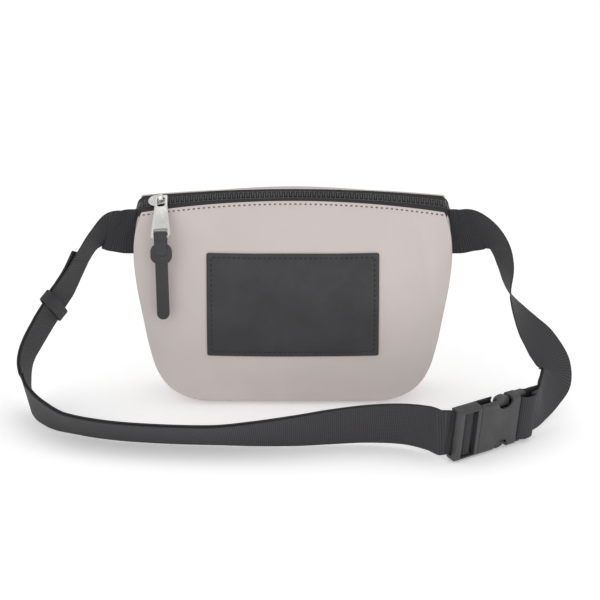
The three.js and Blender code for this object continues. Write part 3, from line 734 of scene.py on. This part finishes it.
def zip_place(s, v, n):
    """Like zip_point, but past its ends the zip bends down into the side seams."""
    over = abs(s) - END_BEND
    if over <= 0:
        return zip_point(s, v, n)
    side = math.copysign(1, s)
    angle = min(over / END_RADIUS, END_TURN)
    rest = over - angle * END_RADIUS
    base = zip_point(side * END_BEND, v, 0)
    along = unit(zip_point(side * END_BEND, v) - zip_point(side * (END_BEND - 1), v))
    out = (END_RADIUS + n) * math.sin(angle) + rest * math.cos(angle)
    drop = END_RADIUS - (END_RADIUS + n) * math.cos(angle) + rest * math.sin(angle)
    return base + along * out - ZIP_N * drop


def zip_tape(side, node):
    """One tape, from its beaded edge by the teeth to where it turns down under the panel's hem."""
    lengthwise = np.linspace(-TAPE_REACH, TAPE_REACH, 170)
    grids = []
    for layer in (0.4, -0.4):
        rows = []
        for s in lengthwise:
            flare = TAPE_END_FLARE * (min(abs(s), ZIP_HALF_LENGTH) / ZIP_HALF_LENGTH) ** 2
            profile = [(2.9, 0.25), (3.3, 0.4), (3.9, 0.1), (4.6, 0), (5.6 + flare * 0.5, 0),
                       (6.6 + flare, -0.25), (7.5 + flare, -1.0), (8.6 + flare, -2.7)]
            rows.append([zip_place(s, side * v, n + layer) for v, n in profile])
        grids.append(np.array(rows))
    vertices, faces = shell(grids[0], grids[1])
    cloth = [(v[0], np.dot(v, ZIP_V), 0) for v in vertices]
    dress(make(f"{node}_woven", vertices, faces, TAPE_LOOK, cloth), "bag", "zip_tape", node)


def tooth(s, side):
    """One moulded tooth: a waisted block with a round head that meshes with its neighbours."""
    sections = [(3.7, 0.62, 0.55), (3.4, 0.8, 0.95), (2.4, 0.86, 1.15), (1.4, 0.8, 1.15),
                (0.4, 0.82, 1.15), (-0.6, 0.88, 1.15), (-1.4, 0.82, 1.1), (-2.0, 0.62, 0.85),
                (-2.25, 0.25, 0.45)]
    rings = []
    for v, wide, tall in sections:
        ring = []
        for a in np.linspace(0, math.tau, 13)[:-1]:
            c, t = math.cos(a), math.sin(a)
            x = s + wide * math.copysign(abs(c) ** 0.55, c)
            n = 0.35 + tall * math.copysign(abs(t) ** 0.55, t)
            ring.append(zip_place(x, side * v, n))
        rings.append(ring)
    return tube_rings(rings)


def zip_teeth(side, node):
    count = int(TEETH_REACH / TOOTH_PITCH)
    shift = 0 if side < 0 else 0.5
    teeth = [tooth((k + shift) * TOOTH_PITCH, side) for k in range(-count, count + 1)]
    bead = []
    for s in np.linspace(-TEETH_REACH, TEETH_REACH, 150):
        bead.append([zip_place(s, side * (3.3 + 0.55 * math.cos(a)), 0.45 + 0.6 * math.sin(a))
                     for a in np.linspace(0, math.tau, 9)[:-1]])
    dress(make(f"{node}_moulded", *merge([*teeth, tube_rings(bead)]), TEETH_LOOK), "bag",
          "zip_teeth", node)


# ---- The webbing ----

LEFT_ROUTE = [
    ((-SIDE_REACH, 2, WEBBING_HEIGHT), (0, 0, 1)),
    ((-132, 2, WEBBING_HEIGHT), (0, -0.02, 1)), ((-139, 0, 137.2), (0, -0.2, 0.98)),
    ((-147, -5, 139.5), (0.05, -0.45, 0.87)), ((-156, -11.5, 133.5), (0.02, -0.68, 0.7)),
    ((-164.5, -16, 122), (-0.05, -0.78, 0.6)), ((-172.5, -19, 108), (-0.12, -0.79, 0.58)),
    ((-179, -21.5, 97), (-0.2, -0.79, 0.57)), ((-188, -24.5, 82.5), (-0.2, -0.79, 0.57)),
    ((-197, -27.5, 68), (-0.2, -0.79, 0.57)), ((-205, -31, 54), (-0.22, -0.82, 0.52)),
    ((-210.5, -35, 41), (-0.17, -0.87, 0.45)), ((-211, -40.5, 30.5), (-0.1, -0.87, 0.48)),
    ((-209, -48, 23), (-0.05, -0.74, 0.68)), ((-205.5, -60, 20.2), (-0.12, -0.42, 0.9)),
    ((-198.6, -75.2, 19.4), (-0.26, -0.3, 0.92)), ((-187, -90, 18), (-0.29, -0.45, 0.85)),
    ((-170, -101.5, 16), (-0.25, -0.65, 0.72)), ((-144, -111.6, 15.3), (-0.19, -0.7, 0.69)),
    ((-111, -118.4, 15.1), (-0.1, -0.73, 0.68)), ((-60, -123, 15.4), (0.01, -0.73, 0.69)),
    ((-29, -123.6, 16.8), (0.02, -0.64, 0.77)), ((0, -122, 18.4), (0, -0.53, 0.85)),
    ((28, -117.4, 19.6), (-0.01, -0.42, 0.91)),
    ((58, -115.2, 21.2), (0, -0.33, 0.94)), ((85, -119.2, 22.5), (0, -0.25, 0.97)),
    ((103, -128.4, 22.9), (0.05, -0.15, 0.98)),
]
RIGHT_ROUTE = [
    ((SIDE_REACH, 2, WEBBING_HEIGHT), (0, 0, 1)),
    ((132, 2, WEBBING_HEIGHT), (0, -0.02, 1)), ((139.5, 0, 137.8), (0.02, -0.2, 0.98)),
    ((147.5, -6.5, 140.4), (0.08, -0.5, 0.84)), ((156.5, -15, 138), (0.2, -0.76, 0.6)),
    ((163, -20, 129), (0.3, -0.86, 0.4)), ((166.5, -23.5, 118), (0.26, -0.9, 0.33)),
    ((168.5, -27, 106), (0.12, -0.93, 0.34)), ((171, -31.5, 95), (-0.1, -0.93, 0.32)),
    ((177, -36, 83.5), (-0.35, -0.88, 0.25)), ((185.5, -40, 70.5), (-0.6, -0.77, 0.16)),
    ((196, -43, 57), (-0.78, -0.6, 0.15)), ((204, -48, 45), (-0.8, -0.52, 0.25)),
    ((206, -56, 35.5), (-0.68, -0.5, 0.5)), ((200.5, -66, 28), (-0.42, -0.4, 0.8)),
    ((194, -77, 24), (-0.15, -0.22, 0.96)),
]
PLUG_TURN = [
    (13.6, -4.4), (15.3, -2.6), (15.4, 0.4), (14.3, 2.6), (12, 3.45), (9.4, 3.35), (7.4, 2.4),
    (6.3, 0.9), (5.3, -0.9), (3.6, -2.4),
]
SOCKET_TURN = [
    (76, 5), (72, 7), (67.5, 7.2), (63.4, 5.6), (61, 2.6), (60.6, -0.8), (61.8, -3),
    (64.6, -4.6), (69.5, -5.6), (75, -5),
]


def buckle_axes():
    """The buckle's own axes: along it, through it towards the back, and across the webbing."""
    turn, lean = BUCKLE_TURN, BUCKLE_LEAN
    along = point(math.cos(turn), math.sin(turn), 0)
    flat = point(-math.sin(turn), math.cos(turn), 0)
    up = point(0, 0, 1)
    through = flat * math.cos(lean) + up * math.sin(lean)
    across = up * math.cos(lean) - flat * math.sin(lean)
    return along, through, across


ALONG_BUCKLE, THROUGH_BUCKLE, ACROSS_BUCKLE = buckle_axes()


def in_buckle(along, front):
    return BUCKLE_CORNER + ALONG_BUCKLE * along - THROUGH_BUCKLE * front, ACROSS_BUCKLE


def smooth_places(route):
    """Places half a rib apart along a route, as rows of centre, across and face."""
    centres = centripetal([r[0] for r in route])
    acrosses = centripetal([r[1] for r in route])
    places = []
    for t in spaced(centres, len(route) * 40, WEB_STEP):
        along = tangent(centres, t)
        across = acrosses(t)
        across = unit(across - along * across.dot(along))
        places.append((centres(t), across, np.cross(along, across)))
    return places


def turned(stations):
    """Places half a rib apart round a bar, through (centre, across) stations."""
    centres = centripetal([s[0] for s in stations])
    acrosses = centripetal([s[1] for s in stations])
    return [(centres(t), unit(acrosses(t)))
            for t in spaced(centres, len(stations) * 24, WEB_STEP)]


def nearest(places, station):
    """The number of the place that is nearest to a route's station."""
    target = point(*station[0])
    return min(range(len(places)), key=lambda i: np.linalg.norm(places[i][0] - target))


# Half of the webbing's section: share of the half width, share of the half thickness.
WEB_EDGE = [(-1.0, 0.0), (-0.99, 0.62), (-0.955, 0.98), (-0.9, 0.9), (-0.6, 0.86), (-0.2, 0.84),
            (0.2, 0.84), (0.6, 0.86), (0.9, 0.9), (0.955, 0.98), (0.99, 0.62)]
WEB_SECTION = WEB_EDGE + [(-w, -f) for w, f in WEB_EDGE]
WEB_STEP = RIB_PITCH / 2
RIB_HOLLOW = 0.9  # the thickness between two ribs, as a share of the thickness at a rib
FREE_TIP = LEFT_ROUTE[5]
KEEPER_STATION = LEFT_ROUTE[8]
RIGHT_SPLIT = RIGHT_ROUTE[8]
FREE_START_X = 112  # the free end leaves the plug here
TIP_PEEL, PEEL_LENGTH = 2.2, 30  # how far the free end's tip stands off, and over what length
FLAP_LENGTH = 42
FLAP_START = 18  # places between the socket's bar and the flap
SEWN_IN = 3.75  # how far a webbing reaches in under the side seam


def webbing_piece(name, places, start=0):
    """Webbing through (centre, across) places half a rib apart: each second ring stands proud.
    start keeps the ribs in step where one webbing is made of two pieces."""
    rings, cloth = [], []
    for i, (centre, across, *_) in enumerate(places):
        before, after = places[max(i - 1, 0)][0], places[min(i + 1, len(places) - 1)][0]
        face = unit(np.cross(unit(after - before), across))
        proud = 1.0 if (i + start) % 2 else RIB_HOLLOW
        if i in (0, len(places) - 1):
            proud *= 0.5
        ring = []
        for w, f in WEB_SECTION:
            wide, deep = w * WEBBING_WIDTH / 2, f * proud * WEBBING_THICKNESS / 2
            ring.append(centre + across * wide + face * deep)
            cloth.append(((i + start + 0.5) * WEB_STEP, wide, f))
        rings.append(ring)
    return make(name, *tube_rings(rings), WEBBING_LOOK, cloth)


def layered(places, lifts):
    """The same places again, each lifted off along its face."""
    return [(c + f * lift, a, f) for (c, a, f), lift in zip(places, lifts)]


def left_webbing():
    """One strap: out from the side seam to the plug, round its bar and back to a free end. It is
    split behind the free end's tip: the upper part rides on no body, the lower part on the left belt."""
    hidden_steps = 6
    buckle_end = [in_buckle(-4.5, -5.2), in_buckle(3, -4.9), in_buckle(9.5, -4.9)]
    main = smooth_places([*LEFT_ROUTE, *buckle_end])
    tip = nearest(main, FREE_TIP)
    last = max(i for i, p in enumerate(main) if p[0][0] < FREE_START_X)
    lifts = [LAYER_STEP + TIP_PEEL * max(1 - i * WEB_STEP / PEEL_LENGTH, 0) ** 2
             for i in range(last - tip)]
    free = layered(main[tip:last], lifts)[::-1]
    bend = [main[-1][:2], *(in_buckle(*p) for p in PLUG_TURN), free[0][:2]]
    split = tip + hidden_steps
    upper = webbing_piece("webbing_left_upper", [*sewn_end(main, -1), *main[:split + 1]])
    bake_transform(upper)
    dress(upper, None, "webbing", "strap_left")
    lower = webbing_piece("webbing_left", [*main[split:-1], *turned(bend), *free[1:]], split)
    dress(lower, "left_belt", "webbing", "strap_left")
    return main


def sewn_end(places, side):
    """Places that carry a webbing in under the pouch's side seam; side is -1 for the left."""
    centre, across = places[0][:2]
    return [(centre + point(-side * d, 0, 0), across) for d in np.arange(SEWN_IN, 0.5, -WEB_STEP)]


def right_webbing():
    """One strap, from the side seam to the socket's bar, split where it is seen edge on into an upper
    and a lower part, neither of which rides on a body."""
    run = smooth_places([*RIGHT_ROUTE, in_buckle(83, -0.6), in_buckle(74, 2)])
    split = nearest(run, RIGHT_SPLIT)
    upper = webbing_piece("webbing_right_upper", [*sewn_end(run, 1), *run[:split + 1]])
    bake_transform(upper)
    dress(upper, None, "webbing", "strap_right")
    sewn = int(FLAP_LENGTH / WEB_STEP)
    flap = layered(run[-sewn - FLAP_START:-FLAP_START], [LAYER_STEP] * sewn)[::-1]
    bend = [run[-1][:2], *(in_buckle(*p) for p in SOCKET_TURN), flap[0][:2]]
    lower = webbing_piece("webbing_right_lower",
                          [*run[split:-1], *turned(bend), *flap[1:]], split)
    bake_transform(lower)
    dress(lower, None, "webbing", "strap_right")


KEEPER_SKEW = math.radians(18)


def keeper(run):
    """A short band of webbing round both layers, sitting askew and a little open."""
    centre, across, face = run[nearest(run, KEEPER_STATION)]
    along = unit(np.cross(across, face))
    skewed_across = across * math.cos(KEEPER_SKEW) - along * math.sin(KEEPER_SKEW)
    skewed_along = along * math.cos(KEEPER_SKEW) + across * math.sin(KEEPER_SKEW)
    centre = centre + face * LAYER_STEP / 2
    half_wide, half_deep, half_long, thick = 22.8, 5.2, 5.0, 1.5
    loop = []
    for a in np.linspace(0, math.tau, 161)[:-1]:
        c, s = math.cos(a), math.sin(a)
        w = half_wide * math.copysign(abs(c) ** 0.62, c)
        f = half_deep * math.copysign(abs(s) ** 0.8, s)
        loop.append(centre + skewed_across * w + face * f)
    rings, cloth = [], []
    for i, spot in enumerate(loop):
        ahead = unit(loop[(i + 1) % len(loop)] - loop[i - 1])
        out = unit(np.cross(ahead, skewed_along))
        proud = 1.0 if i % 2 else 0.88
        section = [(-1, 0), (-0.96, 0.7), (-0.85, 1), (-0.3, 0.9), (0.3, 0.9), (0.85, 1), (0.96, 0.7)]
        section += [(-w, -f) for w, f in section]
        rings.append([spot + skewed_along * (w * half_long) + out * (f * proud * thick / 2)
                      for w, f in section])
        cloth += [(i * WEB_STEP, w * half_long, f) for w, f in section]
    piece = make("keeper_webbing", *tube_rings(rings, closed=True), WEBBING_LOOK, cloth)
    dress(piece, "keeper", "webbing", "keeper_loop")


# ---- Hard pieces ----

SLIDER_AT = -106.0
PULL_AT = point(3.4, 0, 5.2)
PULL_REST = math.radians(7)
TAB_BAR = 38.6
TAB_REST = math.radians(49)
TAB_SKEW = math.radians(-6)


def tab_axes():
    """The leather tab's frame at rest: its bar's middle, and its x, y and z directions."""
    angle = math.asin(SLIDER_AT / ZIP_RADIUS)
    along = point(math.cos(angle), 0, 0) - ZIP_N * math.sin(angle)
    off = np.cross(along, ZIP_V)
    bar = zip_point(SLIDER_AT, 0) + along * PULL_AT[0] + off * PULL_AT[2]
    down = ZIP_V * math.cos(PULL_REST) + off * math.sin(PULL_REST)
    bar = bar - down * TAB_BAR
    turn = PULL_REST + TAB_REST
    hanging = ZIP_V * math.cos(turn) + off * math.sin(turn)
    x = along * math.cos(TAB_SKEW) + hanging * math.sin(TAB_SKEW)
    y = hanging * math.cos(TAB_SKEW) - along * math.sin(TAB_SKEW)
    return bar, x, y, np.cross(x, y)


def tab_band():
    """A raised strap of the same leather, folded over the pull's bar and laid down the tab."""
    bar, x, y, z = tab_axes()
    half_wide, half_thick, outer = 4.75, 0.45, 4.05
    path = [(-15.5, 1.75), (-13, 2.0), (-10, 2.05), (-7, 2.2), (-4.6, 2.9)]
    path += [(-outer * math.sin(a), outer * math.cos(a)) for a in np.radians(range(40, -91, -13))]
    rings = []
    for i, (down, out) in enumerate(path):
        before, after = path[max(i - 1, 0)], path[min(i + 1, len(path) - 1)]
        ahead = unit(point(after[0] - before[0], after[1] - before[1]))
        lift = y * -ahead[1] + z * ahead[0]
        share = 0.72 if i == 0 else 1.0
        centre = bar + y * down + z * out
        rings.append([centre + x * half_wide * share * w + lift * half_thick * f
                      for w, f in [(-1, -1), (-1, 0.3), (-0.94, 0.85), (-0.8, 1), (-0.3, 0.92),
                                   (0.3, 0.92), (0.8, 1), (0.94, 0.85), (1, 0.3), (1, -1)]])
    dress(make("tab_band", *tube_rings(rings), TAB_LOOK), "tab", "tab_leather")


def hard_pieces():
    refined("zip_slider", "slider_metal", METAL_LOOK, 0.45, "slider", "slider_metal")
    refined("zip_pull", "pull_metal", METAL_LOOK, 0.5, "pull", "slider_metal")
    refined("pull_tab", "tab_leather", TAB_LOOK, 0.5, "tab", "tab_leather")
    refined("buckle_plug", "plug_moulded", PLASTIC_LOOK, 0.7, "left_belt", "buckle_plastic")
    refined("buckle_socket", "socket_moulded", PLASTIC_LOOK, 0.8, "right_belt", "buckle_plastic")
    tab_band()
    for name in ("upper", "lower"):
        refined(f"buckle_prong_{name}", f"prong_{name}_moulded", PLASTIC_LOOK, 0.9,
                f"prong_{name}", "buckle_plastic")
    for name in ("seam_binding_front", "seam_binding_back"):
        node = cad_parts[name]
        node.data.materials.clear()
        node.data.materials.append(BINDING_LOOK)


# ---- The studio ----

def look_at(made, target):
    direction = Vector(target) - made.location
    made.rotation_euler = direction.to_track_quat("-Z", "Y").to_euler()


def soft_light(name, location, target, size, power):
    lamp = bpy.data.lights.new(name, "AREA")
    lamp.shape = "DISK"
    lamp.size = size
    lamp.energy = power
    made = bpy.data.objects.new(name, lamp)
    made.location = location
    bpy.context.scene.collection.objects.link(made)
    look_at(made, target)


def studio():
    """A pale floor, even light from all round, and a camera in front looking 20 degrees down."""
    floor = make("floor", [(-4000, -4000, 0), (4000, -4000, 0), (4000, 4000, 0), (-4000, 4000, 0)],
                 [(0, 1, 2, 3)], floor_material())
    world = bpy.data.worlds.new("studio")
    world.use_nodes = True
    world.node_tree.nodes["Background"].inputs["Color"].default_value = (1, 1, 1, 1)
    world.node_tree.nodes["Background"].inputs["Strength"].default_value = 0.78
    bpy.context.scene.world = world
    bpy.context.scene.view_settings.view_transform = "Standard"
    middle = (0, -0.03, 0.08)
    soft_light("key", (-0.8, -1.5, 0.8), middle, 1.2, 3)
    soft_light("fill", (0.7, -1.6, 0.35), middle, 1.2, 6)
    soft_light("top", (0.1, 0.3, 1.7), middle, 1.6, 2)
    elevation, distance = math.radians(20), 1.9
    aim = Vector((0.0056, 0.002, 0.0782))
    lens = bpy.data.cameras.new("camera")
    lens.lens = 142.5
    lens.sensor_width = 36
    camera = bpy.data.objects.new("camera", lens)
    camera.location = aim + Vector((0, -math.cos(elevation), math.sin(elevation))) * distance
    bpy.context.scene.collection.objects.link(camera)
    look_at(camera, aim)
    bpy.context.scene.camera = camera


def pouch():
    front = panel("front_fabric", front_seam, front_middle, FRONT_FOLDS, 1, "front_panel")
    panel("back_fabric", back_seam, back_middle, BACK_FOLDS, -1, "back_panel")
    gusset()
    patch(surface_of(front))
    line, normals = hem_line(front, HEM_DEPTH)
    stitch_line("front_hem_stitches", line, normals, 0.48, 0.55, THREAD_LOOK, "pouch_fabric")


studio()
pouch()
for row, row_side in (("front", -1), ("back", 1)):
    zip_tape(row_side, f"zip_tape_{row}")
    zip_teeth(row_side, f"zip_teeth_{row}")
hard_pieces()
keeper(left_webbing())
right_webbing()
